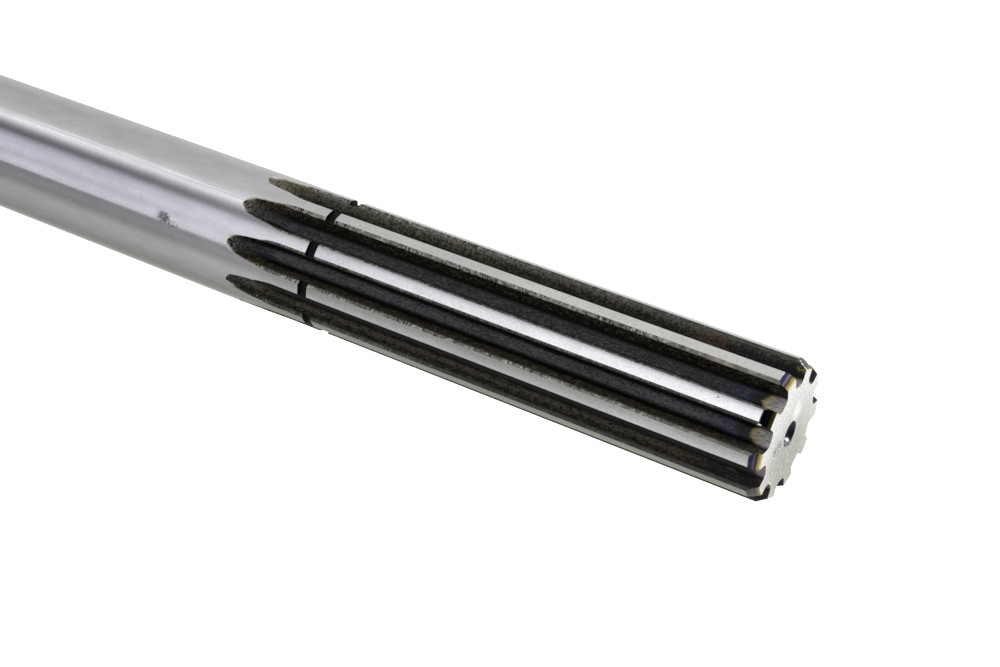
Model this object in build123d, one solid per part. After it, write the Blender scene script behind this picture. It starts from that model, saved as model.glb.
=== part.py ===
from build123d import *
import os
from math import cos, hypot, radians, sin, sqrt, tan

# Final drive axle shaft.
# One bar of hardened steel, turned and ground to one diameter over its whole length.
# Ten straight sided teeth are milled into its upper end, and a retaining ring groove
# crosses them close to where the milled spaces run out.
# Millimetres. Z runs along the shaft, and the origin is the centre of the plain lower end.
# One tooth is centred on the X axis.

# Bar
shaft_diameter = 44.45
shaft_length = 508.0

# Teeth, and the spaces that are milled between them
tooth_count = 10
tooth_width = 5.2
root_diameter = 31.6
root_fillet = 2.2
spline_length = 170.5
cutter_radius = 33.5

# Bevel along both top edges of each tooth
tip_bevel_width = 0.78
tip_bevel_depth = 1.05

# Retaining ring groove, placed by its upper wall
ring_groove_distance = 157.3
ring_groove_width = 3.5
ring_groove_depth = 1.35

# Lead chamfer on the splined end, longer than it is deep, so that a hub starts easily
lead_chamfer_depth = 2.25
lead_chamfer_length = 3.4

# Chamfer on the plain end
plain_chamfer = 2.0

# Centre holes for turning and grinding between centres, one in each end
centre_rim_diameter = 8.2
centre_cone_angle = 60.0
centre_drill_diameter = 4.0
centre_drill_length = 5.0
centre_drill_point_angle = 118.0

# How far the milling tool stands past the bar, so that its cut is clean
tool_overrun = 1.5

# Least length of flat floor and flank that a root fillet leaves beside it
least_flat = 0.05

shaft_radius = shaft_diameter / 2
root_radius = root_diameter / 2
half_pitch = 180 / tooth_count
land_width = tooth_width - 2 * tip_bevel_width


def centre_hole_outline():
    """Radius and depth of the points of a centre hole, from its rim to the drill point."""
    rim_radius = centre_rim_diameter / 2
    drill_radius = centre_drill_diameter / 2
    cone_depth = (rim_radius - drill_radius) / tan(radians(centre_cone_angle / 2))
    drill_end = cone_depth + centre_drill_length
    point_depth = drill_radius / tan(radians(centre_drill_point_angle / 2))
    return [
        (rim_radius, 0),
        (drill_radius, cone_depth),
        (drill_radius, drill_end),
        (0, drill_end + point_depth),
    ]


def turned_bar():
    """The bar as it leaves the lathe: half its section, turned about the Z axis."""
    groove_top = shaft_length - ring_groove_distance
    groove_bottom = groove_top - ring_groove_width
    groove_radius = shaft_radius - ring_groove_depth
    hole = centre_hole_outline()
    lower_hole = [(radius, depth) for radius, depth in reversed(hole)]
    upper_hole = [(radius, shaft_length - depth) for radius, depth in hole]
    outline = lower_hole + [
        (shaft_radius - plain_chamfer, 0),
        (shaft_radius, plain_chamfer),
        (shaft_radius, groove_bottom),
        (groove_radius, groove_bottom),
        (groove_radius, groove_top),
        (shaft_radius, groove_top),
        (shaft_radius, shaft_length - lead_chamfer_length),
        (shaft_radius - lead_chamfer_depth, shaft_length),
    ] + upper_hole
    with BuildPart() as bar:
        with BuildSketch(Plane.XZ):
            with BuildLine():
                Polyline(*outline, close=True)
            make_face()
        revolve(axis=Axis.Z)
    return bar.part


def from_tooth(distance, offset):
    """A point beside a tooth, seen from the middle of the space next to it.

    The distance runs out along the middle of the tooth, and the offset is measured
    from there towards the space.
    """
    out = distance * cos(radians(half_pitch)) + offset * sin(radians(half_pitch))
    across = distance * sin(radians(half_pitch)) - offset * cos(radians(half_pitch))
    return out, across


def space_section():
    """Section of one tooth space: flat floor, filleted corners, flanks and tip bevels."""
    floor_distance = (root_radius - tooth_width / 2 * sin(radians(half_pitch))) / cos(radians(half_pitch))
    floor_corner = from_tooth(floor_distance, tooth_width / 2)
    land_distance = sqrt(shaft_radius**2 - (land_width / 2) ** 2)
    bevel_foot = from_tooth(land_distance - tip_bevel_depth, tooth_width / 2)
    bevel_slope = tip_bevel_width / tip_bevel_depth
    mouth = from_tooth(land_distance + tool_overrun, land_width / 2 - tool_overrun * bevel_slope)
    one_side = [floor_corner, bevel_foot, mouth]
    other_side = [(out, -across) for out, across in reversed(one_side)]
    half_floor = floor_corner[1]
    flank = hypot(bevel_foot[0] - floor_corner[0], bevel_foot[1] - floor_corner[1])
    room = min(half_floor, flank) - least_flat
    corner_angle = 90 + half_pitch
    fitting_fillet = min(root_fillet, room * tan(radians(corner_angle / 2)))
    with BuildSketch() as section:
        with BuildLine():
            Polyline(*one_side, *other_side, close=True)
        make_face()
        fillet(section.vertices().sort_by(Axis.X)[:2], radius=fitting_fillet)
    return section.sketch


def space_cut():
    """What one pass of the round milling tool takes away: a straight run and its run-out.

    The tool feeds down from the splined end at full depth, and its rim leaves an arc of
    its own radius where it stops.
    """
    stop_height = shaft_length - spline_length
    section = space_section().moved(Location((0, 0, stop_height)))
    tool_axis = Axis((root_radius + cutter_radius, 0, stop_height), (0, -1, 0))
    straight_run = extrude(section, amount=spline_length + tool_overrun, dir=(0, 0, 1))
    run_out = revolve(section, axis=tool_axis, revolution_arc=90)
    return straight_run + run_out


def axle_shaft():
    """The finished shaft: the turned bar less its tooth spaces."""
    cut = space_cut()
    shaft = turned_bar()
    for index in range(tooth_count):
        turn = half_pitch + index * 2 * half_pitch
        shaft = shaft - cut.rotate(Axis.Z, turn)
    return shaft


os.makedirs("parts", exist_ok=True)
shaft = axle_shaft()
export_step(shaft, "parts/axle_shaft.step")
print("land width at the tooth tip", round(land_width, 3))
print("volume", round(shaft.volume, 1))
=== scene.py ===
"""Looks of the final drive axle shaft: its finished surface, the studio round it and the camera.

The shaft is one bar of ground steel with ten milled teeth. Its whole skin is one closed grid, worked
out from the same sizes as the solid, so that every edge of a tooth, bevel, run-out, groove and chamfer
lies on a line of the grid and each finish starts exactly there.
"""

import logging
from dataclasses import dataclass
from enum import IntEnum
from functools import partial
from math import cos, pi, radians, sin, sqrt, tan

import bpy
import numpy as np
from bpy.types import Material, Mesh, NodeSocket, NodeTree, Object, World
from mathutils import Matrix, Vector


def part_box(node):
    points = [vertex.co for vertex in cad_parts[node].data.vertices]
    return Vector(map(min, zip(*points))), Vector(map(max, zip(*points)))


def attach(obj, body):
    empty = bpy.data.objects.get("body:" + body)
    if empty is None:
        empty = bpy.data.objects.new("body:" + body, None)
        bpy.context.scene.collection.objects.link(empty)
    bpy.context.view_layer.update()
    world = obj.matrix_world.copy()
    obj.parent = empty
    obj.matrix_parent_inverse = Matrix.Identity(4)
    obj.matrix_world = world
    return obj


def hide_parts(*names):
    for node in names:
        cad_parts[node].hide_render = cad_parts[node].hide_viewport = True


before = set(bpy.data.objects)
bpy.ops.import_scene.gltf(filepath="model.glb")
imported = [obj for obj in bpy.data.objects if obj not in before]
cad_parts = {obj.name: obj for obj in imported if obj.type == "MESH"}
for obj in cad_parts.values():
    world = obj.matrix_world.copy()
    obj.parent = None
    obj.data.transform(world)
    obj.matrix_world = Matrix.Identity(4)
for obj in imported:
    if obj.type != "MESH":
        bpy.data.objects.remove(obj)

Colour = tuple[float, float, float, float]
Grids = dict[str, np.ndarray]

MM = 0.001
NODE = "axle_shaft"
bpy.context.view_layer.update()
LOW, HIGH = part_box(NODE)
LENGTH = (HIGH.z - LOW.z) / MM
RADIUS = (HIGH.x - LOW.x) / 2 / MM
HALVINGS = 40  # in the search for where a space's line meets a circle
HAIR = 1e-6  # mm, less than any length of the grid
SUNK = 1e-5  # mm below the bar's round, from which a face belongs to a space
WELD_DIGITS = 5  # decimals of a millimetre in which points of one place agree
ROUND_SLACK = 0.001  # mm off the bar's round at which a point still lies on it
SHIFTS = (1.0, 0.7, 1.3)  # shares of a grain's shift that the three axes take
GRAIN_SPAN = (0.3, 0.7)  # strengths between which nearly all of a grain lies
QUARTER_TURN = 0.25
SHARE, UNDER, OVER, MIXED = 0, 6, 7, 2  # sockets of a Mix node that mixes colours
log = logging.getLogger("axle_shaft")


def linear(code: str) -> Colour:
    """Turns an sRGB hex colour into a linear one.

    Args:
        code: the colour as six hex digits after a hash sign.

    Returns:
        Red, green, blue and an alpha of one.
    """
    shares = [int(code[i : i + 2], 16) / 255 for i in (1, 3, 5)]
    return tuple(c / 12.92 if c <= 0.04045 else ((c + 0.055) / 1.055) ** 2.4 for c in shares) + (1.0,)


def add_node(tree: NodeTree, kind: str, inputs: dict | None = None, output: int | str = 0,
             **settings: object) -> NodeSocket | None:
    """Adds a node with its settings and links.

    Args:
        tree: the node tree that gets the node.
        kind: the node's type, without the words ShaderNode.
        inputs: for each input, by name or number, a value or the output that it is linked to.
        output: the output that is wanted, by name or number.
        settings: values of its properties. The name stops gives a colour ramp's places and colours.

    Returns:
        That output, or nothing for a node without outputs.
    """
    node = tree.nodes.new("ShaderNode" + kind)
    stops = settings.pop("stops", ())
    for name, value in settings.items():
        setattr(node, name, value)
    for number, (place, colour) in enumerate(stops):
        elements = node.color_ramp.elements
        element = elements[number] if number < len(elements) else elements.new(place)
        element.position = place
        element.color = colour
    for name, value in (inputs or {}).items():
        if isinstance(value, NodeSocket):
            tree.links.new(value, node.inputs[name])
        else:
            node.inputs[name].default_value = value
    return node.outputs[output] if node.outputs else None


class Zone(IntEnum):
    """The surfaces of the shaft that each have a finish of their own."""

    GROUND = 0
    BEVEL = 1
    SPACE = 2
    LEAD_CHAMFER = 3
    RING_GROOVE = 4
    END_FACE = 5
    CENTRE_HOLE = 6


@dataclass(frozen=True)
class ToothSpace:
    """Section of the space between two teeth, in millimetres.

    Half of it is a line with one parameter, its length from the middle of the floor outwards: the flat
    floor, the root fillet, the flank beside the tooth, and the bevel at the tooth's top edge.
    """

    bar_radius: float = RADIUS
    tooth_count: int = 10
    tooth_width: float = 5.2
    root_radius: float = 15.8
    root_fillet: float = 2.2
    bevel_width: float = 0.78
    bevel_depth: float = 1.05

    @property
    def half_pitch(self) -> float:
        """Half the angle from one tooth to the next, in radians."""
        return pi / self.tooth_count

    def beside_tooth(self, distance: float, offset: float) -> np.ndarray:
        """Place of a point beside a tooth, across and outwards from the space's middle.

        Args:
            distance: how far out it lies along the middle of the tooth.
            offset: how far it lies from there towards the space.

        Returns:
            Its two coordinates.
        """
        c, s = cos(self.half_pitch), sin(self.half_pitch)
        return np.array([distance * s - offset * c, distance * c + offset * s])

    def corners(self) -> tuple[np.ndarray, np.ndarray]:
        """Places and line lengths of the ends of floor, fillet, flank and bevel.

        Returns:
            Five places, across and outwards, and the length of the line at each.
        """
        half = self.tooth_width / 2
        land_distance = sqrt(self.bar_radius**2 - (half - self.bevel_width) ** 2)
        foot = self.beside_tooth(land_distance - self.bevel_depth, half)
        land_edge = self.beside_tooth(land_distance, half - self.bevel_width)
        c, s = cos(self.half_pitch), sin(self.half_pitch)
        floor_distance = (self.root_radius - half * s) / c
        corner = self.beside_tooth(floor_distance, half)
        setback = self.root_fillet * tan((pi / 2 - self.half_pitch) / 2)
        floor_end = corner - np.array([setback, 0.0])
        fillet_end = corner + setback * np.array([s, c])
        places = np.array([[0.0, self.root_radius], floor_end, fillet_end, foot, land_edge])
        steps = np.linalg.norm(np.diff(places, axis=0), axis=1)
        steps[1] = self.root_fillet * (pi / 2 - self.half_pitch)
        return places, np.concatenate([[0.0], np.cumsum(steps)])

    def at(self, length: np.ndarray) -> tuple[np.ndarray, np.ndarray]:
        """Point of the line at a length: straight stretches between its corners, and the fillet's arc.

        Args:
            length: lengths along the line, of any shape.

        Returns:
            The places across and outwards, each of that shape.
        """
        places, ends = self.corners()
        across = np.interp(length, ends, places[:, 0])
        out = np.interp(length, ends, places[:, 1])
        turn = (length - ends[1]) / self.root_fillet
        on_fillet = (length > ends[1]) & (length < ends[2])
        across = np.where(on_fillet, places[1, 0] + self.root_fillet * np.sin(turn), across)
        out = np.where(on_fillet, self.root_radius + self.root_fillet * (1 - np.cos(turn)), out)
        return across, out

    def mouth(self, radius: np.ndarray, lift: np.ndarray) -> np.ndarray:
        """Length at which the line, lifted outwards, comes up through a circle, found by halving.

        Args:
            radius: the circle's radius at each station along the shaft.
            lift: how far the section is lifted there.

        Returns:
            The length at each station, or nought where the whole line is outside the circle.
        """
        low = np.zeros_like(radius)
        high = np.full_like(radius, self.corners()[1][-1])
        for _ in range(HALVINGS):
            middle = (low + high) / 2
            across, out = self.at(middle)
            inside = np.hypot(across, out + lift) < radius
            low = np.where(inside, middle, low)
            high = np.where(inside, high, middle)
        return (low + high) / 2


@dataclass(frozen=True)
class CentreHole:
    """Centre hole for turning between centres, in millimetres: a cone, a pilot and a drill point."""

    rim_radius: float = 4.1
    pilot_radius: float = 2.0
    pilot_length: float = 5.0
    cone_angle: float = 60.0
    point_angle: float = 118.0
    cone_rings: int = 4

    def outline(self) -> np.ndarray:
        """Radius and depth of its corners, from the rim to the tip of the drill point."""
        cone_depth = (self.rim_radius - self.pilot_radius) / tan(radians(self.cone_angle / 2))
        pilot_end = cone_depth + self.pilot_length
        tip = pilot_end + self.pilot_radius / tan(radians(self.point_angle / 2))
        between = np.linspace(0, 1, self.cone_rings)[:, None]
        cone = (1 - between) * [self.rim_radius, 0.0] + between * [self.pilot_radius, cone_depth]
        return np.vstack([cone, [[self.pilot_radius, pilot_end], [0.0, tip]]])


@dataclass
class AxleShaft:
    """The whole shaft as one closed skin. All sizes are in millimetres, heights from the plain end.

    The grid's columns are shared out over half a pitch: floor, fillet, flank below the ring groove's
    floor, the rest of the flank, bevel and half a land. Where a run-out is narrow, the first four
    end at most at their knot shares of its half width. The opening is the least half width, the
    spread is how far below the tips the columns become even, and the patch bow is the share in the
    measure patch. The rows are those of the plain bar, the spread, the run-outs, the rest up to the
    groove, the teeth and the lead chamfer, and a bias above one sets them closer at the tips.
    """

    length: float = LENGTH
    radius: float = RADIUS
    spline_length: float = 170.5
    cutter_radius: float = 33.5
    groove_distance: float = 157.3
    groove_width: float = 3.5
    groove_depth: float = 1.35
    lead_depth: float = 2.25
    lead_length: float = 3.4
    plain_chamfer: float = 2.0
    opening: float = 0.15
    spread: float = 14.0
    sharp_angle: float = 24.0
    patch_bow: float = 0.38
    columns: tuple[int, ...] = (3, 6, 5, 2, 3, 5)
    knot_shares: tuple[float, ...] = (0.15, 0.5, 0.85, 0.93)
    rows: tuple[int, ...] = (16, 10, 50, 4, 40, 9)
    bias: float = 1.6
    face_rings: tuple[float, ...] = (0.03, 0.08, 0.16, 0.3, 0.5, 0.75)

    def __post_init__(self) -> None:
        """Makes the space's section and the centre hole, and works out where the run-outs start."""
        self.space = ToothSpace(self.radius)
        self.hole = CentreHole()
        self.groove_column = sum(self.columns[:3])
        self.edge_column = sum(self.columns[:5])
        self.last_column = sum(self.columns)
        self.stop = self.length - self.spline_length
        full_depth = self.radius - self.space.root_radius
        reach = sqrt(self.cutter_radius**2 - (self.cutter_radius - full_depth) ** 2)
        self.tip = self.stop - reach

    def stations(self) -> np.ndarray:
        """Stations along the outside of the bar, from the plain end's face to the splined end's.

        Returns:
            A row for each station: its height, the radius there, and one if it is in the ring groove.
        """
        groove_top = self.length - self.groove_distance
        groove_bottom = groove_top - self.groove_width
        shoulder = self.length - self.lead_length
        plain, spread, run_out, stop, tooth, lead = self.rows
        below = np.concatenate([
            np.linspace(self.plain_chamfer, self.tip - self.spread, plain),
            np.linspace(self.tip - self.spread, self.tip, spread)[1:-1],
            self.tip + (self.stop - self.tip) * np.linspace(0, 1, run_out) ** self.bias,
            np.linspace(self.stop, groove_bottom, stop)[1:]])
        above = np.linspace(groove_top, shoulder, tooth)
        chamfer = np.linspace(shoulder, self.length, lead)[1:]
        chamfer_radius = self.radius - self.lead_depth * (chamfer - shoulder) / self.lead_length
        stretches = (
            ([0.0], self.radius - self.plain_chamfer, 0),
            (below, self.radius, 0),
            ([groove_bottom, groove_top], self.radius - self.groove_depth, 1),
            (above, self.radius, 0),
            (chamfer, chamfer_radius, 0))
        return np.vstack([np.stack(np.broadcast_arrays(*stretch), axis=1) for stretch in stretches])

    def half_outline(self, rows: np.ndarray) -> Grids:
        """The outline over half a pitch at each station, from a space's middle to a tooth's.

        Below full depth the section is lifted as the milling tool's rim rises: by the tool's radius
        less the root of its square less the square of the distance below the stop. What the lifted
        line has outside the bar is laid on the bar's own circle.

        Args:
            rows: the stations.

        Returns:
            Arrays with a row for each station and a column for each line of the grid: radius, angle,
            distance into the space from its edge, place across the space, and whether a bevel.
        """
        height, radius, ring = rows.T
        below_stop = np.clip(self.stop - height, 0, self.stop - self.tip)
        lift = self.cutter_radius - np.sqrt(self.cutter_radius**2 - below_stop**2)
        mouth = self.space.mouth(radius, lift)
        reach = np.maximum(mouth, self.opening)
        ends = self.space.corners()[1]
        groove_rim = sqrt((self.radius - self.groove_depth) ** 2 - (self.space.tooth_width / 2) ** 2)
        foot_rim = sqrt(self.radius**2 - (self.space.tooth_width / 2 - self.space.bevel_width) ** 2)
        groove_end = ends[3] - (foot_rim - self.space.bevel_depth - groove_rim)
        knots = [ends[1], ends[2], groove_end, ends[3]]
        limits = [np.minimum(knot, share * reach) for knot, share in zip(knots, self.knot_shares)]
        limits = np.stack([0 * reach, *limits, reach], axis=1)
        in_ring = ring == 1
        limits[in_ring, :4] = [0.0, ends[1], ends[2], groove_end]
        limits[in_ring, 4:] = groove_end
        marks = np.cumsum([0, *self.columns[:5]])
        steps = np.arange(self.edge_column + 1)
        part = np.clip(np.searchsorted(marks, steps, side="right") - 1, 0, 4)
        share = (steps - marks[part]) / np.diff(marks)[part]
        line = limits[:, part] * (1 - share) + limits[:, part + 1] * share
        across, out = self.space.at(line)
        out = out + lift[:, None]
        rho = np.minimum(np.hypot(across, out), radius[:, None])
        angle = np.arctan2(across, out)
        land_share = np.linspace(0, 1, self.columns[5] + 1)[1:]
        land = angle[:, -1:] * (1 - land_share) + self.space.half_pitch * land_share
        angle = np.hstack([angle, land])
        rho = np.hstack([rho, np.repeat(radius[:, None], len(land_share), axis=1)])
        past_edge = -radius[:, None] * (land - angle[:, self.edge_column, None])
        into = np.hstack([mouth[:, None] - line, past_edge])
        ring_share = np.clip(np.arange(self.last_column + 1) - self.groove_column, 0, None)
        ring_share = ring_share / (self.last_column - self.groove_column)
        rim_angle = angle[:, self.groove_column, None]
        ring_angle = rim_angle * (1 - ring_share) + self.space.half_pitch * ring_share
        on_ring = in_ring[:, None] & (ring_share > 0)
        angle = np.where(on_ring, ring_angle, angle)
        rho = np.where(on_ring, radius[:, None], rho)
        into = np.where(on_ring, 0.0, into)
        bevel = np.zeros_like(rho)
        bevel[:, : self.edge_column + 1] = line > ends[3] - HAIR
        bevel = bevel * ~in_ring[:, None]
        even = self.space.half_pitch * np.arange(self.last_column + 1) / self.last_column
        fall = np.clip((self.tip - height) / self.spread, 0, 1)[:, None]
        ease = fall * fall * (3 - 2 * fall)
        angle = angle * (1 - ease) + even * ease
        plain = height < self.tip
        past = -np.hypot((self.tip - height)[:, None], radius[:, None] * angle)
        into = np.where(plain[:, None], past, into)
        return {"radius": rho, "angle": angle, "into": into, "across": rho * np.sin(angle), "bevel": bevel}

    def skin(self) -> Grids:
        """The whole skin as one grid, from the plain end's drill point to the splined end's.

        The outline is mirrored to a full pitch and repeated round the bar. Each end face runs inwards
        from it at a constant angle to the centre hole, whose rings carry on to the pole.

        Returns:
            Grids of radius, angle, height and what the measures are worked out from.
        """
        rows = self.stations()
        half = self.half_outline(rows)
        order = np.arange(-self.last_column, self.last_column)
        sign = np.where(order < 0, -1.0, 1.0)
        count = self.space.tooth_count
        middles = self.space.half_pitch * (1 + 2 * np.arange(count))
        outline = {name: np.tile(grid[:, np.abs(order)], (1, count)) for name, grid in half.items()}
        outline["across"] *= np.tile(sign, count)
        turned = sign * half["angle"][:, np.abs(order)]
        outline["angle"] = np.hstack([turned + middle for middle in middles])
        outline["height"] = np.repeat(rows[:, :1], outline["angle"].shape[1], axis=1)
        outline["inward"] = np.zeros_like(outline["angle"])
        lower = self.end(outline, 0, 1.0)
        upper = self.end(outline, -1, -1.0)
        return {name: np.vstack([lower[name][::-1], outline[name], upper[name]]) for name in outline}

    def end(self, outline: Grids, row: int, inwards: float) -> Grids:
        """The face and the centre hole at one end, from the outline inwards.

        Args:
            outline: the grids of the outside.
            row: the row of the outside that the face starts from.
            inwards: one where the hole runs up the shaft, and minus one where it runs down.

        Returns:
            Grids with the same names, a row for each ring.
        """
        start = {name: grid[row] for name, grid in outline.items()}
        hole = self.hole.outline()
        shares = np.array(self.face_rings)[:, None]
        face = start["radius"] * (1 - shares) + hole[0, 0] * shares
        radius = np.vstack([face, np.repeat(hole[:, :1], face.shape[1], axis=1)])
        depth = np.concatenate([np.zeros(len(shares)), hole[:, 1]])[:, None]
        rings = {name: np.repeat(values[None], len(radius), axis=0) for name, values in start.items()}
        rings["radius"] = radius
        rings["height"] = start["height"] + inwards * depth * np.ones_like(radius)
        rings["inward"] = start["radius"] - radius
        rings["bevel"] = np.zeros_like(radius)
        return rings

    def measures(self, skin: Grids) -> Grids:
        """What the finishes read, at each point of the grid.

        Args:
            skin: the grids of the whole skin.

        Returns:
            In millimetres: into, how far inside a space's edge, and below nought on the land; across,
            the place across the space; inward, how far in from the outline of an end face; depth, how
            far below the bar's surface; from_end, how far from the splined end; patch, that distance
            plus a share of the place across squared, so that a constant value is a bowed line. And
            the cosine and sine of the angle from the first tooth, front and side.
        """
        from_end = self.length - skin["height"]
        return {
            "into": skin["into"],
            "across": skin["across"],
            "inward": skin["inward"],
            "depth": self.radius - skin["radius"],
            "from_end": from_end,
            "patch": from_end + self.patch_bow * skin["across"] ** 2,
            "front": np.cos(skin["angle"]),
            "side": np.sin(skin["angle"]),
        }

    def zones(self, skin: Grids) -> np.ndarray:
        """The finish of each face of the grid, from the rows and columns that bound it.

        Args:
            skin: the grids of the whole skin.

        Returns:
            A zone for each face, with one row fewer than the skin.
        """
        cone = len(self.hole.outline()) - 1
        rings = len(self.face_rings) + len(self.hole.outline())
        shape = (len(skin["radius"]) - 1, skin["radius"].shape[1])
        zone = np.full(shape, Zone.GROUND, dtype=int)
        order = np.tile(np.arange(-self.last_column, self.last_column), self.space.tooth_count)
        column = np.where(order < 0, -order - 1, order)[None, :]
        height = (skin["height"][1:] + skin["height"][:-1]) / 2
        least = np.minimum(skin["radius"], np.roll(skin["radius"], -1, axis=1))
        deepest = np.minimum(least[1:], least[:-1])
        in_space = (column < self.edge_column) & (height > self.tip) & (deepest < self.radius - SUNK)
        zone[in_space] = Zone.SPACE
        bevel = skin["bevel"] + np.roll(skin["bevel"], -1, axis=1)
        zone[in_space & (bevel[1:] + bevel[:-1] == 4)] = Zone.BEVEL
        groove_top = self.length - self.groove_distance
        in_groove = (height > groove_top - self.groove_width - HAIR) & (height < groove_top + HAIR)
        zone[in_groove & (column >= self.groove_column)] = Zone.RING_GROOVE
        shoulder = self.length - self.lead_length
        zone[(height > shoulder) & (column >= self.edge_column)] = Zone.LEAD_CHAMFER
        zone[:rings] = Zone.END_FACE
        zone[-rings:] = Zone.END_FACE
        zone[:cone] = Zone.CENTRE_HOLE
        zone[-cone:] = Zone.CENTRE_HOLE
        return zone

    def build(self, finishes: dict[Zone, Material]) -> Object:
        """Makes the skin's mesh, closes its poles and gives each face its finish.

        A point is the radius times the cosine and sine of its angle, and its height.

        Args:
            finishes: the material of each zone.

        Returns:
            The finished piece.
        """
        skin = self.skin()
        rows, columns = skin["radius"].shape
        x = skin["radius"] * np.cos(skin["angle"])
        y = skin["radius"] * np.sin(skin["angle"])
        points = np.stack([x, y, skin["height"]], axis=-1).reshape(-1, 3)
        index = np.arange(rows * columns).reshape(rows, columns)
        beside = np.roll(index, -1, axis=1)
        quads = np.stack([index[:-1], beside[:-1], beside[1:], index[1:]], axis=-1).reshape(-1, 4)
        zone = self.zones(skin).ravel()
        welded = np.round(points, WELD_DIGITS)
        _, first, same = np.unique(welded, axis=0, return_index=True, return_inverse=True)
        quads = same.ravel()[quads]
        repeat = quads == np.roll(quads, -1, axis=1)
        kept = repeat.sum(axis=1) < 2
        faces = [quad[~doubled].tolist() for quad, doubled in zip(quads[kept], repeat[kept])]
        mesh = bpy.data.meshes.new("axle_shaft_skin")
        mesh.from_pydata((points[first] * MM).tolist(), [], faces)
        for material in finishes.values():
            mesh.materials.append(material)
        mesh.polygons.foreach_set("material_index", zone[kept].astype(np.int32))
        for name, values in self.measures(skin).items():
            layer = mesh.attributes.new(name, "FLOAT", "POINT")
            layer.data.foreach_set("value", values.ravel()[first].astype(np.float32))
        mesh.shade_smooth()
        mesh.set_sharp_from_angle(angle=radians(self.sharp_angle))
        mesh.validate()
        self.true_round(mesh)
        piece = bpy.data.objects.new("axle_shaft_finished", mesh)
        bpy.context.scene.collection.objects.link(piece)
        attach(piece, "root")
        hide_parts(NODE)
        return piece

    def true_round(self, mesh: Mesh) -> None:
        """Turns the normals of the bar's own round straight out from its middle line.

        The thin faces beside the run-out tips would tilt them a little. All other faces keep the
        mesh's own normals, which a normal of nought stands for.

        Args:
            mesh: the skin.
        """
        places = np.empty(3 * len(mesh.vertices))
        mesh.vertices.foreach_get("co", places)
        places = places.reshape(-1, 3)
        point = np.empty(len(mesh.loops), dtype=np.int32)
        mesh.loops.foreach_get("vertex_index", point)
        sizes = np.empty(len(mesh.polygons), dtype=np.int32)
        mesh.polygons.foreach_get("loop_total", sizes)
        radius = np.hypot(places[:, 0], places[:, 1])
        on_round = np.abs(radius / MM - self.radius) < ROUND_SLACK
        whole = np.logical_and.reduceat(on_round[point], np.cumsum(sizes) - sizes)
        outwards = places * [1.0, 1.0, 0.0] / np.maximum(radius, MM)[:, None]
        normals = np.where(np.repeat(whole, sizes)[:, None], outwards[point], 0.0)
        mesh.normals_split_custom_set(normals.tolist())


@dataclass(frozen=True)
class Grain:
    """An uneven pattern drawn out across or along the shaft. Its scales are in millimetres."""

    across: float
    along: float
    detail: float = 3.0
    shift: float = 0.0
    roughness: float = 0.6

    def laid(self, tree: NodeTree) -> NodeSocket:
        """Adds the pattern on the piece's own coordinates.

        Args:
            tree: the material's node tree.

        Returns:
            Its strength, from nought to one and mostly near a half.
        """
        place = add_node(tree, "Mapping", {
            "Vector": add_node(tree, "TexCoord", output="Object"),
            "Location": tuple(self.shift * share for share in SHIFTS),
            "Scale": (1 / (self.across * MM), 1 / (self.across * MM), 1 / (self.along * MM))})
        return add_node(tree, "TexNoise", {
            "Vector": place, "Scale": 1.0, "Detail": self.detail, "Roughness": self.roughness})

    def swing(self, tree: NodeTree, spread: float) -> NodeSocket:
        """Its strength laid about nought, from half the spread below to half above."""
        laid = {0: self.laid(tree), 1: spread, 2: -spread / 2}
        return add_node(tree, "Math", laid, operation="MULTIPLY_ADD")


@dataclass(frozen=True)
class Reach:
    """Where a layer lies: from where a measure has one value to where it has another.

    A grain makes the passage ragged by up to its spread. Without a measure the grain alone decides.
    """

    measure: str
    start: float
    full: float
    grain: Grain | None = None
    spread: float = 1.0

    def share(self, tree: NodeTree, most: float | NodeSocket) -> NodeSocket:
        """How strong the layer is: nought before the start, and the most where it is full.

        Args:
            tree: the material's node tree.
            most: the greatest share, which may be another reach's own share.

        Returns:
            The share.
        """
        if self.measure:
            value = add_node(tree, "Attribute", output="Fac", attribute_name=self.measure)
        else:
            value = self.grain.laid(tree)
        if self.measure and self.grain:
            uneven = self.grain.swing(tree, self.spread)
            value = add_node(tree, "Math", {0: value, 1: uneven}, operation="ADD")
        return add_node(tree, "MapRange", {
            "Value": value, "From Min": self.start, "From Max": self.full, "To Max": most},
            interpolation_type="SMOOTHSTEP")


def flecks(start: float, full: float, *grain: float) -> Reach:
    """A reach in which a grain alone decides.

    Args:
        start: the grain's strength at which the layer starts.
        full: the strength at which it is full.
        grain: the grain's own values.

    Returns:
        The reach.
    """
    return Reach("", start, full, Grain(*grain))


into, across, inward, depth, from_end, patch, front, side = (partial(Reach, name) for name in (
    "into", "across", "inward", "depth", "from_end", "patch", "front", "side"))
# Parts of the round as the photograph's camera sees it, which the first tooth faces.
# The heat scale's layers use FRONT, UPPER and LOWER to paint light, sheen and shade by side of the bar.
FRONT = front(0.62, 0.9)
UPPER = side(-0.6, -0.75)
LOWER = side(0.6, 0.75)


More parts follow.
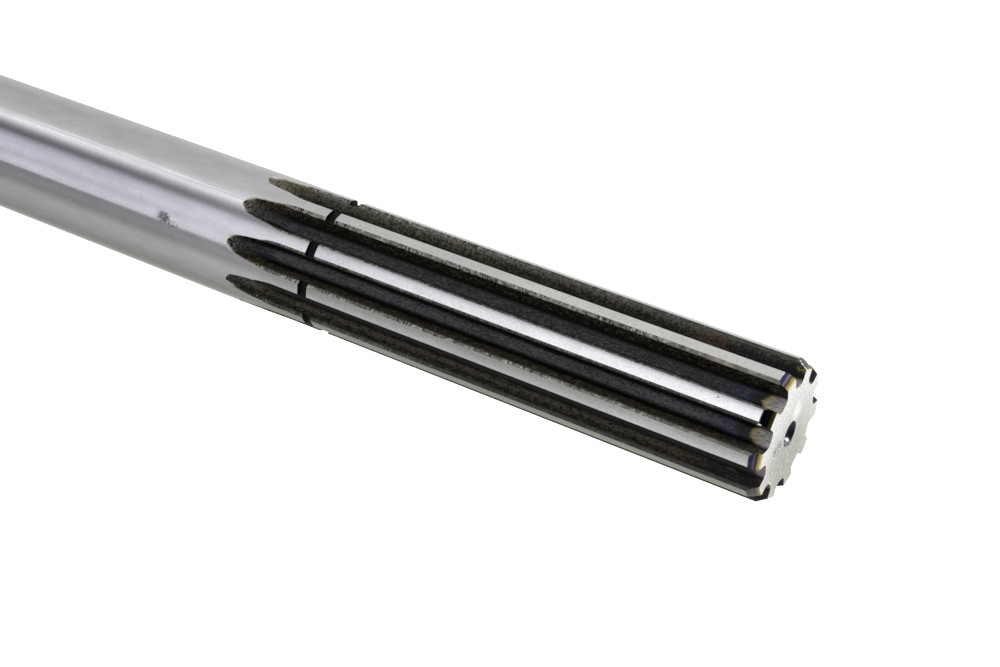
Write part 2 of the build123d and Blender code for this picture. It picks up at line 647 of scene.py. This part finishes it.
@dataclass(frozen=True)
class Spot:
    """Where a ragged patch lies, in millimetres and in degrees from the first tooth."""

    height: float
    angle: float
    half_across: float
    half_along: float
    radius: float = RADIUS
    grain: Grain = Grain(1.2, 1.2, 4.0)
    ragged: float = 0.8
    soft: float = 0.5

    def share(self, tree: NodeTree, most: float | NodeSocket) -> NodeSocket:
        """How strong the patch is: the most in its middle, and nought past its outline.

        The distance from its middle is measured in half sizes, so that its outline is at one.

        Args:
            tree: the material's node tree.
            most: the greatest share, which may be another reach's own share.

        Returns:
            The share.
        """
        turn = radians(self.angle)
        place = Vector((self.radius * cos(turn), self.radius * sin(turn), self.height))
        scale = Vector((1 / self.half_across, 1 / self.half_across, 1 / self.half_along))
        moved = add_node(tree, "Mapping", {
            "Vector": add_node(tree, "TexCoord", output="Object"),
            "Location": -place * scale, "Scale": scale / MM})
        far = add_node(tree, "VectorMath", {0: moved}, "Value", operation="LENGTH")
        uneven = self.grain.swing(tree, self.ragged)
        value = add_node(tree, "Math", {0: far, 1: uneven}, operation="ADD")
        return add_node(tree, "MapRange", {
            "Value": value, "From Min": 1.0, "From Max": 1.0 - self.soft, "To Max": most},
            interpolation_type="SMOOTHSTEP")


class Layer:
    """One colour of a finish, how strong it is at most, and where it lies: in all its reaches at once."""

    def __init__(self, colour: str, strength: float, *reaches: Reach | Spot) -> None:
        """Keeps them as they are given."""
        self.colour, self.strength, self.reaches = colour, strength, reaches


class Finish:
    """A finish of the shaft: its bare colour, the layers over it, its gloss and its relief.

    The roughness goes from its first value to its second with the gloss grain. The relief is a list
    of grains, each with its height in millimetres.
    """

    name: str
    bare: str
    layers: tuple[Layer, ...]
    metallic: float
    roughness: tuple[float, float]
    gloss: Grain
    relief: tuple[tuple[Grain, float], ...]
    further: dict[str, object] = {}

    def shading(self, tree: NodeTree) -> dict[str, object]:
        """Further inputs of the shader, for a finish that has any."""
        return self.further

    def material(self) -> Material:
        """Makes the material: the layers are mixed over the bare colour one after the other."""
        material = bpy.data.materials.new(self.name)
        material.use_nodes = True
        tree = material.node_tree
        tree.nodes.clear()
        colour = linear(self.bare)
        for layer in self.layers:
            share = layer.strength
            for reach in layer.reaches:
                share = reach.share(tree, share)
            mixed = {SHARE: share, UNDER: colour, OVER: linear(layer.colour)}
            colour = add_node(tree, "Mix", mixed, MIXED, data_type="RGBA")
        rough = add_node(tree, "MapRange", {
            "Value": self.gloss.laid(tree), "From Min": GRAIN_SPAN[0], "From Max": GRAIN_SPAN[1],
            "To Min": self.roughness[0], "To Max": self.roughness[1]})
        height = 0.0
        for grain, rise in self.relief:
            raised = {0: grain.laid(tree), 1: rise, 2: height}
            height = add_node(tree, "Math", raised, operation="MULTIPLY_ADD")
        shader = add_node(tree, "BsdfPrincipled", {
            "Base Color": colour,
            "Metallic": self.metallic,
            "Roughness": rough,
            "Normal": add_node(tree, "Bump", {"Height": height, "Distance": MM}),
            **self.shading(tree)})
        add_node(tree, "OutputMaterial", {"Surface": shader})
        return material


class GroundSteel(Finish):
    """Hardened steel, ground round between centres.

    The stone leaves fine marks round the bar, which draw reflections out along it, and slight lobes,
    which split them into fine lines lengthwise. Along the upper edge of the bright band that the shank
    reflects, darker lengthwise lines are painted in as well: a painted reflection. Close to the milled
    spaces a feathered rim of heat scale is left. The bar has an oily ring shaped stain, one tooth has a
    duller stretch of its land, and another a small dark nick near the end.
    """

    name = "ground_steel"
    bare = "#D9D9DA"
    layers = (
        Layer("#C6C6C6", 0.5, flecks(0.36, 0.66, 5, 14, 4)),
        Layer("#B4B4B5", 0.3, flecks(0.48, 0.7, 0.5, 1, 3, 6)),
        Layer("#A2A2A1", 0.3, flecks(0.5, 0.7, 0.6, 1.6, 3, 16), from_end(172, 150)),
        Layer("#A8A8A8", 0.2, flecks(0.5, 0.68, 2.2, 0.7, 3, 2), from_end(172, 150)),
        # Painted reflection: darker lengthwise lines only where the shank's bright reflection band falls,
        # splitting it into fine lines.
        Layer("#9C9CA2", 0.4, flecks(0.5, 0.58, 0.5, 90, 2, 30), side(-0.42, -0.38), side(-0.27, -0.31),
            from_end(185, 192)),
        Layer("#B0B0B0", 0.42, side(0.5, 0.53), side(0.68, 0.66), from_end(112, 98), from_end(42, 56)),
        Layer("#8C8C8E", 0.6, flecks(0.7, 0.76, 0.9, 1.2, 2, 21)),
        Layer("#34312B", 0.85, into(-0.06, 0.12, Grain(1, 0.6, 4, 3), 0.4)),
        Layer("#98947E", 0.55, Spot(289.8, 16.6, 2, 2.8, ragged=1, soft=0.9)),
        Layer("#5B5B56", 0.8, Spot(291.4, 18, 1.9, 2.7, ragged=0.7, soft=0.5)),
        Layer("#2E2E2C", 0.8, Spot(291.6, 18.4, 2.3, 3, ragged=0.9, soft=0.3),
            flecks(0.5, 0.56, 0.5, 0.9, 2, 5)),
        Layer("#B9B8C0", 0.7, Spot(291.2, 18, 1.3, 1.9, ragged=0.6), flecks(0.53, 0.6, 0.5, 0.7, 2, 9)),
        Layer("#4A4A4A", 0.65, Spot(295, 21.4, 1.3, 3, ragged=1, soft=0.3),
            flecks(0.44, 0.54, 0.7, 0.6, 2, 1)),
        Layer("#3A393C", 0.9, Spot(491, -1.9, 0.3, 0.5, ragged=0.7)),
    )
    metallic = 1
    roughness = (0.1, 0.14)
    gloss = Grain(2.5, 5, 3, 9)
    relief = ((Grain(0.8, 150, 2, 1), 0.0035),)
    anisotropy = 0.7

    def shading(self, tree: NodeTree) -> dict[str, object]:
        """The marks' direction, as a gloss that is drawn out along the bar."""
        tangent = add_node(tree, "Tangent", direction_type="RADIAL", axis="Z")
        return {"Anisotropic": self.anisotropy, "Anisotropic Rotation": QUARTER_TURN, "Tangent": tangent}


class TickedBevel(Finish):
    """Bevel along a tooth's top edge, where grinding just caught the scaled surface.

    It is grey with fine ticks of bare steel and of scale side by side across it, darker at its foot
    and towards the sides of the bar, and smoother near the splined end. One tooth has a tan smear,
    and the front one more dark ticks and, at its lead chamfer, a small nick painted pure white as a glint.
    """

    name = "ticked_bevel"
    bare = "#63645E"
    layers = (
        Layer("#A09F97", 0.7, flecks(0.48, 0.62, 2, 3, 4, 8)),
        Layer("#1E1D17", 0.95, flecks(0.5, 0.56, 2, 0.65, 3, 5), flecks(0.38, 0.5, 3, 9, 3, 2),
            from_end(14, 40)),
        Layer("#C2C0B4", 0.7, flecks(0.56, 0.63, 1.2, 0.65, 3, 15), depth(0.9, 0.5), from_end(14, 40)),
        Layer("#171611", 0.85, depth(0.4, 0.95, Grain(0.9, 0.7, 3, 4), 0.8), side(-0.4, -0.2)),
        Layer("#1F1E18", 0.6, front(0.7, 0.35), flecks(0.3, 0.6, 0.8, 0.7, 3, 9)),
        Layer("#1F1E18", 0.5, side(0.75, 0.88)),
        Layer("#1F1E18", 0.5, side(0.75, 0.88), from_end(125, 98)),
        Layer("#1F1E18", 0.6, side(-0.8, -0.88), from_end(115, 80)),
        Layer("#1F1E18", 0.4, side(-0.8, -0.88), from_end(60, 35)),
        Layer("#1F1E18", 0.35, front(0.96, 0.985), flecks(0.3, 0.6, 1, 0.6, 3, 31)),
        Layer("#1A1913", 0.62, front(0.96, 0.985), from_end(125, 98), flecks(0.42, 0.56, 0.9, 0.6, 3, 41)),
        Layer("#9A8C78", 0.6, Spot(486, -29, 1.4, 7, ragged=1.2, soft=0.7)),
        # Painted glint: a small nick at the front tooth's corner by its lead chamfer, painted pure white.
        Layer("#FFFFFF", 1, Spot(505, 7.2, 0.6, 0.9, 21.4, ragged=0.3, soft=0.3)),
    )
    metallic = 0.3
    roughness = (0.42, 0.55)
    gloss = Grain(1.2, 0.4, 2, 7)
    relief = ((Grain(2.4, 0.5, 4, 5), 0.015),)


class HeatScale(Finish):
    """Black scale of the hardening furnace, left in the milled tooth spaces.

    It is half glossy, and deep black in the fillets and on the flanks of the front spaces. Light and
    shade are painted into it by side of the bar: a painted bluish grey sheen on the floors of the
    front spaces, with long hairlines from the milling cutter, olive, brown and pale tones as painted
    light on the flanks at the sides of the bar, and painted shade on some of them. The run-outs have
    pale worn rims, a cream upper edge that is a painted highlight, tan ticks and a blue grey streak of
    painted sheen. The last stretch of each floor turns bluish and then shows the tempering colours:
    navy, black, straw and mauve grey, streaked lengthwise.
    """

    name = "heat_scale"
    bare = "#090806"
    layers = (
        # Painted sheen: bluish grey on the floors of the spaces that face the camera, with the cutter's
        # hairlines in it.
        Layer("#26282B", 0.95, depth(5.8, 6.3, Grain(0.8, 4, 3, 3), 0.2), FRONT,
            flecks(0.3, 0.6, 0.35, 22, 4)),
        # Painted sheen: a lighter middle on the floor of the front space on the lower side.
        Layer("#5B5D61", 0.5, across(-1.7, -0.7), across(1.8, 0.8), depth(6, 6.3), side(0.05, 0.25), FRONT,
            flecks(0.35, 0.6, 0.3, 18, 4, 8)),
        # Painted sheen: a blue grey streak on the run-out floors of the spaces that face the camera.
        Layer("#3E424C", 0.85, from_end(170, 174), from_end(188.8, 186.5), across(-1.6, -0.9),
            across(1.2, 0.4), FRONT, flecks(0.35, 0.6, 0.4, 10, 3)),
        # Painted light on the flanks, set by side of the bar: olive, brown grey and pale tones over the black
        # on the flanks that face the light.
        Layer("#232118", 0.7, depth(5.7, 4.6), across(1, -1), side(-0.05, -0.2),
            flecks(0.3, 0.6, 0.7, 1.2, 3, 7)),
        Layer("#353222", 0.75, depth(4.9, 3.8, Grain(1.5, 6, 3, 5), 1), across(-0.5, 1.5), front(0.74, 0.82),
            flecks(0.3, 0.6, 0.8, 1.6, 4, 7)),
        Layer("#454339", 0.8, depth(5.9, 3.6, Grain(1.5, 6, 3, 5), 1.5), front(0.85, 0.6),
            flecks(0.34, 0.62, 0.55, 4.5, 4, 11)),
        Layer("#77735F", 0.3, depth(4.8, 4), depth(2.4, 3.2), LOWER),
        Layer("#74715F", 0.5, depth(2.1, 1.3), UPPER),
        Layer("#8A8776", 0.42, flecks(0.44, 0.62, 4, 0.45, 3, 14), UPPER, depth(5, 2)),
        # Painted shade: a black band on one flank of the uppermost space, away from the splined end.
        Layer("#0C0B08", 0.55, UPPER, across(-0.6, -1.5), depth(2.2, 2.7), depth(4.2, 3.4),
            from_end(118, 96)),
        Layer("#5A5953", 0.55, depth(2.1, 1.2, Grain(1, 0.6, 3, 19), 0.6), across(-3, -3.7),
            front(0.9, 0.95)),
        # Painted shade: darker near the lands in the lowermost space, and darker in the uppermost space
        # towards the splined end.
        Layer("#100F0A", 0.5, depth(2.8, 1.8, Grain(1.5, 6), 0.8), LOWER),
        Layer("#100F0A", 0.3, UPPER, from_end(115, 70)),
        Layer("#6B6858", 0.35, flecks(0.5, 0.64, 0.8, 1.2, 3, 4), depth(4.8, 4.2)),
        # Light specks in the painted sheen of the front floors.
        Layer("#6E7176", 0.3, flecks(0.45, 0.66, 0.5, 1, 3, 24), depth(5.9, 6.3), FRONT),
        Layer("#020202", 0.85, flecks(0.53, 0.36, 0.55, 1.1, 3, 12)),
        Layer("#12161F", 0.8, from_end(34, 20), front(0.85, 0.6), flecks(0.32, 0.55, 0.6, 5)),
        Layer("#5E4632", 0.5, Spot(478, -63, 2.6, 9, 19), flecks(0.38, 0.6, 0.8, 1.4)),
        Layer("#57472F", 0.5, Spot(484, 67, 2.6, 10, 19), flecks(0.38, 0.6, 0.8, 1.4)),
        Layer("#6A5E48", 0.7, from_end(171, 176), depth(4.5, 1.5), across(0.5, -1), side(-0.2, -0.6),
            flecks(0.44, 0.62, 3, 0.5, 4, 6)),
        Layer("#6E6D66", 0.7, from_end(186.5, 188.5, Grain(0.8, 0.8, 2), 1.2), front(0.8, 0.9),
            flecks(0.48, 0.56, 0.7, 0.7, 2, 8)),
        Layer("#A3A29A", 0.8, from_end(180, 187), into(0.5, 0.2, Grain(0.9, 0.9, 2), 0.3)),
        Layer("#ACACA6", 0.9, from_end(186, 189.5), into(1.3, 0.6, Grain(0.9, 0.9, 2), 0.6), across(0.3, 1)),
        Layer("#ACACA6", 0.9, from_end(186.5, 189.5), into(1.1, 0.5, Grain(0.9, 0.9, 2), 0.6),
            across(-0.6, -1.2)),
        # Painted highlight: a cream line along the rounded upper edge of the run-outs.
        Layer("#C9C5AE", 0.85, from_end(174, 180), into(0.55, 0.3, Grain(0.8, 1.2, 2), 0.3), across(-0.2, -1),
            flecks(0.34, 0.5, 1, 1.4, 2, 3)),
        Layer("#A4936E", 0.85, from_end(162, 167), into(1.6, 0.5, Grain(1, 0.7, 2, 6), 1.2), across(0.5, 1.5),
            from_end(184, 178), flecks(0.5, 0.57, 0.9, 0.7, 2)),
        Layer("#1A2040", 0.7, patch(24, 12, Grain(2, 6), 6), depth(5.3, 6.2), front(0.6, 0.9),
            flecks(0.36, 0.6, 0.5, 3, 3, 2)),
        Layer("#050403", 0.9, patch(12.4, 9.6, Grain(1.2, 3), 1.5), depth(3.5, 5.5)),
        Layer("#93834F", 0.9, patch(7.3, 5.6, Grain(0.5, 2.4), 2.8), depth(5, 6.2, Grain(1, 1), 0.7)),
        Layer("#7C777A", 0.95, patch(6.2, 3.4, Grain(0.6, 2), 2.6), depth(5, 5.8, Grain(1, 1), 0.5)),
        Layer("#B4B0AC", 0.6, patch(7, 4.8), depth(5, 6), flecks(0.48, 0.64, 0.4, 2.6, 3, 5)),
        Layer("#3A302C", 0.6, patch(7, 5.6), depth(4.6, 5.6), flecks(0.5, 0.62, 0.4, 1.8, 3, 9)),
        Layer("#28203A", 0.5, patch(8, 6), depth(6.05, 5.5), depth(4.4, 5.2)),
        Layer("#1A1612", 0.85, patch(3.6, 5.4), patch(12, 9), front(0.88, 0.68)),
        Layer("#7D7040", 0.85, Spot(506.5, -61.5, 1.7, 2.6, 20, ragged=0.6),
            flecks(0.38, 0.54, 0.7, 1, 2, 3)),
    )
    metallic = 0
    roughness = (0.32, 0.5)
    gloss = Grain(0.5, 6, 4, 2)
    relief = ((Grain(0.5, 7, 4), 0.03), (Grain(0.5, 0.8, 3, 4), 0.02))
    further = {"IOR": 1.3}


class TemperedChamfer(Finish):
    """Lead chamfer, turned and then coloured by the heat.

    From the land inwards its oxide film runs through pale, navy, mauve, purple brown and straw to
    cream. On the front tooth the film is thickest, nearly black with an olive straw edge. Towards
    the sides of the bar it is grey green, and on the uppermost tooth dark, with a rubbed edge painted
    pure white as a highlight.
    """

    name = "tempered_chamfer"
    bare = "#E2E0EE"
    layers = (
        Layer("#3A3D5E", 1, depth(0.06, 0.26, Grain(2, 1.6), 0.5)),
        Layer("#857D8B", 0.9, depth(0.7, 0.94, Grain(2, 1.6), 0.5)),
        Layer("#54444A", 1, depth(1.1, 1.28, Grain(2, 1.6), 0.5)),
        Layer("#A69750", 1, depth(1.46, 1.7, Grain(2, 1.6), 0.5)),
        Layer("#DCD4A0", 1, depth(1.85, 2.15, Grain(2, 1.6), 0.5)),
        Layer("#060616", 0.92, front(0.9, 0.97), depth(3.3, 1.5), depth(0, 0.3)),
        Layer("#5C5312", 0.6, front(0.9, 0.97), depth(1.4, 1.75), depth(2.35, 2)),
        Layer("#2A2A2E", 0.55, side(0.35, 0.5), front(0.6, 0.75), depth(1.6, 1.3)),
        Layer("#3C403D", 0.92, front(0.62, 0.42), depth(3.4, 1.3)),
        Layer("#161715", 0.85, side(-0.8, -0.92), flecks(0.42, 0.54, 0.9, 0.9, 3, 7)),
        # Painted highlight: a rubbed edge of the uppermost tooth's chamfer, along the space, painted pure
        # white.
        Layer("#FFFFFF", 0.9, side(-0.8, -0.92), into(-1, -0.3, Grain(0.8, 0.8, 2, 3), 1.4),
            flecks(0.4, 0.5, 0.7, 0.7, 2, 11)),
    )
    metallic = 1
    roughness = (0.26, 0.36)
    gloss = Grain(1.5, 1.5)
    relief = ((Grain(1.5, 0.5, 3, 2), 0.006),)


class ScaledGroove(Finish):
    """Retaining ring groove, turned before hardening: black walls, and a dark grey floor."""

    name = "scaled_groove"
    bare = "#060504"
    layers = (
        Layer("#1B1819", 0.9, depth(1.2, 1.33), flecks(0.4, 0.66, 0.8, 0.5)),
    )
    metallic = 0
    roughness = (0.42, 0.55)
    gloss = Grain(0.8, 0.5)
    relief = ((Grain(0.8, 0.5), 0.02),)
    further = {"IOR": 1.18}


class TurnedFace(Finish):
    """End face, faced off on the lathe: pale, half matt and finely mottled.

    At the splined end it is dull on one side and brighter on the other, has a few dark dents with
    painted highlights on their rims, and a thin straw fringe along its outline.
    """

    name = "turned_face"
    bare = "#DFDFE2"
    layers = (
        Layer("#94958D", 0.95, Spot(LENGTH, 140, 30, 30, 12, Grain(2, 2), 0.25, 0.85)),
        Layer("#A4A59E", 0.55, flecks(0.46, 0.66, 0.7, 0.7, 3)),
        Layer("#E8E8EA", 0.4, flecks(0.5, 0.7, 0.9, 0.9, 3, 6), from_end(60, 30)),
        Layer("#D9D29A", 0.8, inward(0.65, 0.25, Grain(2.2, 2.2, 3, 3), 0.9), from_end(60, 30),
            front(-0.6, 0.1)),
        # Painted highlights: white specks on the rims of the dents.
        Layer("#FFFFFF", 0.8, Spot(LENGTH, 42, 3.6, 3.6, 8.8, soft=0.3), flecks(0.54, 0.58, 0.6, 0.6, 2, 3)),
        Layer("#2C2A32", 0.9, Spot(LENGTH, 42, 3.4, 3.4, 8.8, soft=0.3), flecks(0.5, 0.54, 0.6, 0.6, 2, 2)),
        Layer("#7A7A7C", 0.75, Spot(LENGTH, 62, 8, 8, 9.5, ragged=0.5), flecks(0.56, 0.62, 0.6, 0.6, 2, 9)),
        Layer("#F6F6F8", 0.55, Spot(LENGTH, 285, 4.6, 4.6, 7, soft=0.8)),
    )
    metallic = 1
    roughness = (0.36, 0.48)
    gloss = Grain(1.3, 1.3, 4, 4)
    relief = ((Grain(1.3, 1.3, 5, 1), 0.012),)


class DrilledHole(Finish):
    """Centre hole: drilled steel, painted dark for the shade and dark reflections in it.

    Its cone has a mottled grey rim on one side that is a painted reflection, and one ragged white
    place that is a painted glint.
    """

    name = "drilled_hole"
    # Painted shade: the hole's steel is painted dark for the shade and dark reflections inside it.
    bare = "#3A3B40"
    layers = (
        Layer("#1A1B20", 0.85, flecks(0.36, 0.56, 2, 2, 3, 4)),
        # Painted reflection: two grey patches on one side of the cone, the first mottled.
        Layer("#A0A1A2", 0.85, Spot(LENGTH - 0.7, 112, 1.9, 1.2, 3.7, Grain(0.6, 0.6), 0.5, 0.5),
            flecks(0.34, 0.58, 0.5, 0.5, 3, 5)),
        Layer("#8B8C90", 0.9, Spot(LENGTH - 0.8, 148, 1.1, 0.9, 3.6, Grain(0.7, 0.7), 1.3, 0.3)),
        # Painted glint: a ragged pure white place on the cone.
        Layer("#FFFFFF", 1, Spot(LENGTH - 1.1, 154, 0.8, 0.7, 3.45, Grain(0.6, 0.6), 1, 0.3)),
    )
    metallic = 0.6
    roughness = (0.25, 0.35)
    gloss = Grain(1.4, 1.4)
    relief = ((Grain(1.4, 0.4), 0.006),)


@dataclass(frozen=True)
class Ring:
    """A ring of soft panels at one height of the tent's wall.

    Each panel is given by where round the bar the camera sees it in ground steel, in degrees from
    the side nearest to the camera, and by the colour that bare steel shows there.
    """

    takes_over: tuple[float, float]
    panels: tuple[tuple[float, str], ...]

    def stops(self, camera_distance: float) -> list[tuple[float, Colour]]:
        """Places and colours of the panels round the wall.

        A point of the bar shows what lies at twice its own angle, and a little more, because the
        camera is near: the sine of its angle times the bar's radius over the camera's distance.

        Args:
            camera_distance: how far the camera is from the bar's middle line, in millimetres.

        Returns:
            Shares of a full turn, from behind the bar, and linear colours.
        """
        near = RADIUS / camera_distance
        angles = np.radians([angle for angle, _ in self.panels])
        turns = np.clip((2 * angles + near * np.sin(angles)) / (2 * pi) + 0.5, 0.0, 1.0)
        return [(float(turn), linear(code)) for turn, (_, code) in zip(turns, self.panels)]


@dataclass(frozen=True)
class Studio:
    """A white tent round the shaft, the floor it stands on, one soft lamp and the camera."""

    camera_place: tuple[float, float, float] = (521.508, 46.794, 653.993)
    camera_right: tuple[float, float, float] = (-0.36405, -0.38313, 0.84893)
    camera_up: tuple[float, float, float] = (0.22733, -0.92046, -0.31792)
    lens: float = 66.722
    sensor: float = 36.0
    clip: tuple[float, float] = (0.01, 100.0)
    wall_light: float = 1.5
    floor_reach: float = 6.0
    floor_glow: float = 0.55
    lamp_watts: float = 26.0
    lamp_size: float = 1.6
    lamp_place: tuple[float, float, float] = (0.9, -1.5, 1.7)
    lamp_aim: tuple[float, float, float] = (0.0, 0.0, 0.3)
    rings: tuple[Ring, ...] = (
        Ring((-1.0, -0.9), (
            (-90, "#A9A9A9"), (-74, "#ACACAC"), (-56, "#A2A2A3"), (-38, "#ABABAD"), (-31, "#B5B5B7"),
            (-29.2, "#BDBDBF"), (-28, "#DDDDDF"), (-26.8, "#E6E6E8"), (-25.6, "#DCDCDE"), (-23.6, "#EEEDF0"),
            (-21.6, "#DEDDE0"), (-20, "#C2C2C5"), (-16, "#807F84"), (-13, "#626167"), (-11.4, "#68676E"),
            (-8, "#9A99A3"), (-5, "#B0AEB8"), (1, "#BEBCC8"), (7, "#B3B1BC"), (12, "#C5C3CC"),
            (16.2, "#BFBEC5"), (17.4, "#747377"), (24, "#828284"), (28, "#797A79"), (37, "#999B9A"),
            (46, "#989A99"), (65, "#7E7F7C"), (73, "#8A8B87"), (81, "#AAABA7"), (90, "#B0B1AC"))),
        Ring((-0.62, -0.38), (
            (-90, "#BBBBBA"), (-45, "#C3C3BE"), (-37, "#C8C8C3"), (-30, "#DADADA"), (-22, "#E6E6E6"),
            (-14, "#ACACB0"), (-10, "#B4B3B8"), (-8.4, "#C9C8CD"), (-7.2, "#ECEBEF"), (-4, "#F8F6FA"),
            (0, "#FFFDFF"), (8, "#F2F0F4"), (17, "#E4E3E8"), (19, "#A2A2A4"), (28, "#A1A29E"),
            (35, "#C6C6C3"), (44, "#ABADAC"), (60, "#898A83"), (66, "#93948A"), (72, "#8F9087"),
            (90, "#A8A9A3"))),
        Ring((-0.06, 0.12), (
            (-90, "#F2F2EE"), (-60, "#E2E2E0"), (-30, "#B4B4B8"), (-15, "#3A3A42"), (15, "#3A3A42"),
            (30, "#B0B0B4"), (60, "#DEDEDC"), (90, "#F2F2EE"))),
        Ring((0.8, 0.97), ((-90, "#DADADA"), (90, "#DADADA"))),
    )

    def place_camera(self) -> Object:
        """Puts the camera where the photograph was taken from, turned as it was held."""
        data = bpy.data.cameras.new("camera")
        data.lens = self.lens
        data.sensor_width = self.sensor
        data.clip_start, data.clip_end = self.clip
        right, up = Vector(self.camera_right), Vector(self.camera_up)
        back = right.cross(up)
        camera = bpy.data.objects.new("camera", data)
        place = Matrix.Translation(Vector(self.camera_place) * MM)
        camera.matrix_world = place @ Matrix((right, up, back)).transposed().to_4x4()
        bpy.context.scene.collection.objects.link(camera)
        bpy.context.scene.camera = camera
        return camera

    def hang_tent(self) -> World:
        """Makes the world, which is the tent.

        The camera sees it plain white, as what is seen through glass would be. Polished surfaces show
        its wall with the rings of panels. Everything else gets its even light.
        """
        world = bpy.data.worlds.new("white_tent")
        world.use_nodes = True
        tree = world.node_tree
        tree.nodes.clear()
        x, y, _ = self.camera_place
        turned = add_node(tree, "VectorRotate", {
            "Vector": add_node(tree, "TexCoord", output="Generated"), "Angle": -float(np.arctan2(y, x))},
            rotation_type="Z_AXIS")
        height = add_node(tree, "SeparateXYZ", {0: turned}, "Z")
        parts = height.node.outputs
        round_about = add_node(tree, "Math", {0: parts["Y"], 1: parts["X"]}, operation="ARCTAN2")
        share = add_node(tree, "MapRange", {"Value": round_about, "From Min": -pi, "From Max": pi})
        wall = linear("#FFFFFF")
        for ring in self.rings:
            panels = ring.stops(float(np.hypot(x, y)))
            shown = add_node(tree, "ValToRGB", {"Fac": share}, "Color", stops=panels)
            risen = add_node(tree, "MapRange", {
                "Value": height, "From Min": ring.takes_over[0], "From Max": ring.takes_over[1]})
            mixed = {SHARE: risen, UNDER: wall, OVER: shown}
            wall = add_node(tree, "Mix", mixed, MIXED, data_type="RGBA")
        reflected = add_node(tree, "Background", {"Color": wall, "Strength": self.wall_light})
        even = add_node(tree, "Background", {"Color": linear("#F4F4F4"), "Strength": 1.0})
        white = add_node(tree, "Background", {"Color": linear("#FFFFFF"), "Strength": 1.0})
        camera_ray = add_node(tree, "LightPath", output="Is Camera Ray")
        paths = camera_ray.node.outputs
        lit = add_node(tree, "MixShader", {0: paths["Is Glossy Ray"], 1: even, 2: reflected})
        seen = add_node(tree, "Math", {0: camera_ray, 1: paths["Is Transmission Ray"]}, operation="MAXIMUM")
        add_node(tree, "OutputWorld", {"Surface": add_node(tree, "MixShader", {0: seen, 1: lit, 2: white})})
        bpy.context.scene.world = world
        return world

    def lay_floor(self) -> Object:
        """Lays the floor: a white sheet that shows the shaft's shadow.

        It gives off a little light of its own to the camera and in reflections, so that it is as
        white as the tent round it. It is kept out of the shaft's gloss, which shows the tent's panels.
        """
        reach = self.floor_reach
        corners = [(-reach, -reach, 0), (reach, -reach, 0), (reach, reach, 0), (-reach, reach, 0)]
        mesh = bpy.data.meshes.new("floor")
        mesh.from_pydata(corners, [], [(0, 1, 2, 3)])
        floor = bpy.data.objects.new("floor", mesh)
        bpy.context.scene.collection.objects.link(floor)
        material = bpy.data.materials.new("white_paper")
        material.use_nodes = True
        tree = material.node_tree
        tree.nodes.clear()
        paper = add_node(tree, "BsdfDiffuse", {"Color": linear("#E8E8E8")})
        glow = add_node(tree, "Emission", {"Color": linear("#FFFFFF"), "Strength": self.floor_glow})
        camera_ray = add_node(tree, "LightPath", output="Is Camera Ray")
        paths = camera_ray.node.outputs
        glossy = add_node(tree, "Math", {
            0: paths["Is Glossy Ray"], 1: paths["Is Transmission Ray"]}, operation="MAXIMUM")
        seen = add_node(tree, "Math", {0: camera_ray, 1: glossy}, operation="MAXIMUM")
        bright = add_node(tree, "AddShader", {0: paper, 1: glow})
        sheet = add_node(tree, "MixShader", {0: seen, 1: paper, 2: bright})
        add_node(tree, "OutputMaterial", {"Surface": sheet})
        mesh.materials.append(material)
        floor.visible_glossy = False
        return floor

    def hang_lamp(self) -> Object:
        """Hangs one broad soft lamp above the side that the photograph is lit from."""
        data = bpy.data.lights.new("soft_lamp", "AREA")
        data.shape = "DISK"
        data.size = self.lamp_size
        data.energy = self.lamp_watts
        lamp = bpy.data.objects.new("soft_lamp", data)
        lamp.location = self.lamp_place
        aim = Vector(self.lamp_aim) - lamp.location
        lamp.rotation_euler = aim.to_track_quat("-Z", "Y").to_euler()
        lamp.visible_glossy = False
        lamp.visible_camera = False
        bpy.context.scene.collection.objects.link(lamp)
        return lamp


def main() -> None:
    """Builds the shaft, its finishes and the studio, and reports each."""
    logging.basicConfig(level=logging.INFO, format="%(name)s: %(message)s")
    finishes = {
        Zone.GROUND: GroundSteel(),
        Zone.BEVEL: TickedBevel(),
        Zone.SPACE: HeatScale(),
        Zone.LEAD_CHAMFER: TemperedChamfer(),
        Zone.RING_GROOVE: ScaledGroove(),
        Zone.END_FACE: TurnedFace(),
        Zone.CENTRE_HOLE: DrilledHole(),
    }
    for zone, finish in finishes.items():
        log.info("finish of %s is %s", zone.name.lower(), finish.name)
    piece = AxleShaft().build({zone: finish.material() for zone, finish in finishes.items()})
    log.info("%s has %d faces", piece.name, len(piece.data.polygons))
    studio = Studio()
    for part in (studio.lay_floor(), studio.hang_tent(), studio.hang_lamp(), studio.place_camera()):
        log.info("studio has %s", part.name)
    bpy.context.scene.view_settings.view_transform = "Standard"


if __name__ == "__main__":
    main()
